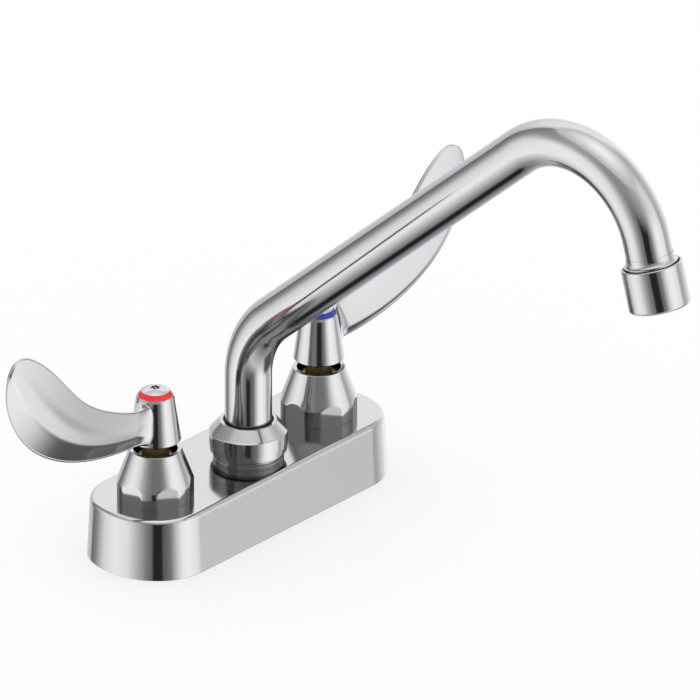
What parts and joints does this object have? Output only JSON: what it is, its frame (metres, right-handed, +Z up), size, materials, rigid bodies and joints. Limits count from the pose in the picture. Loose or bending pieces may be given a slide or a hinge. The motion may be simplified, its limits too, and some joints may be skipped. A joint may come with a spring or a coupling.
{
  "type": "deck-mount faucet",
  "caption": "Two-handle deck-mount faucet with wrist blade handles, conical bonnets and a bent tubular swing spout with an aerator, all chromed.",
  "frame": {"origin": "on the deck plane under the base, midway between the two valve axes", "axes": "+X from the hot valve to the cold valve, -Y forward along the spout, +Z up"},
  "size_m": [0.2834, 0.2575, 0.2714],
  "materials": {
    "chrome": "mirror-polished chrome plating",
    "raw_brass": "turned brass",
    "zinc_steel": "zinc-plated steel",
    "steel_mesh": "stainless screen",
    "black_rubber": "nitrile rubber",
    "grey_gasket": "closed-cell rubber sheet",
    "ceramic": "lapped alumina",
    "nylon": "natural nylon",
    "white_plastic": "moulded acetal",
    "index_red": "moulded red ring",
    "index_blue": "moulded blue ring"
  },
  "bodies": {
    "deck": {"deck_body": "chrome", "deck_gasket": "grey_gasket", "hot_inlet_shank": "raw_brass", "hot_shank_washer": "zinc_steel", "hot_lock_nut": "raw_brass", "hot_bonnet": "chrome", "hot_cartridge_body": "raw_brass", "hot_body_oring": "black_rubber", "hot_gland_nut": "raw_brass", "hot_seat_seal": "black_rubber", "hot_fixed_disc": "ceramic", "cold_inlet_shank": "raw_brass", "cold_shank_washer": "zinc_steel", "cold_lock_nut": "raw_brass", "cold_bonnet": "chrome", "cold_cartridge_body": "raw_brass", "cold_body_oring": "black_rubber", "cold_gland_nut": "raw_brass", "cold_seat_seal": "black_rubber", "cold_fixed_disc": "ceramic", "spout_nipple": "chrome", "spout_nut": "chrome", "spout_thrust_washer": "nylon"},
    "hot_valve": {"hot_moving_disc": "ceramic", "hot_stem": "raw_brass", "hot_stem_oring": "black_rubber", "hot_handle": "chrome", "hot_index_ring": "index_red", "hot_handle_screw": "chrome"},
    "cold_valve": {"cold_moving_disc": "ceramic", "cold_stem": "raw_brass", "cold_stem_oring": "black_rubber", "cold_handle": "chrome", "cold_index_ring": "index_blue", "cold_handle_screw": "chrome"},
    "spout": {"spout_tube": "chrome", "spout_journal": "raw_brass", "spout_oring_lower": "black_rubber", "spout_oring_upper": "black_rubber", "outlet_spud": "chrome", "aerator_housing": "chrome", "aerator_washer": "black_rubber", "aerator_insert": "white_plastic", "aerator_screen": "steel_mesh"}
  },
  "joints": [
    {"name": "hot_handle_turn", "type": "hinge", "parent": "deck", "child": "hot_valve", "pos_m": [-0.0508, 0, 0.06], "axis": [0, 0, 1], "range_deg": [0, 90]},
    {"name": "cold_handle_turn", "type": "hinge", "parent": "deck", "child": "cold_valve", "pos_m": [0.0508, 0, 0.06], "axis": [0, 0, 1], "range_deg": [-90, 0]},
    {"name": "spout_swing", "type": "hinge", "parent": "deck", "child": "spout", "pos_m": [0, -0.0058, 0.04], "axis": [0, 0, 1], "continuous": true}
  ]
}
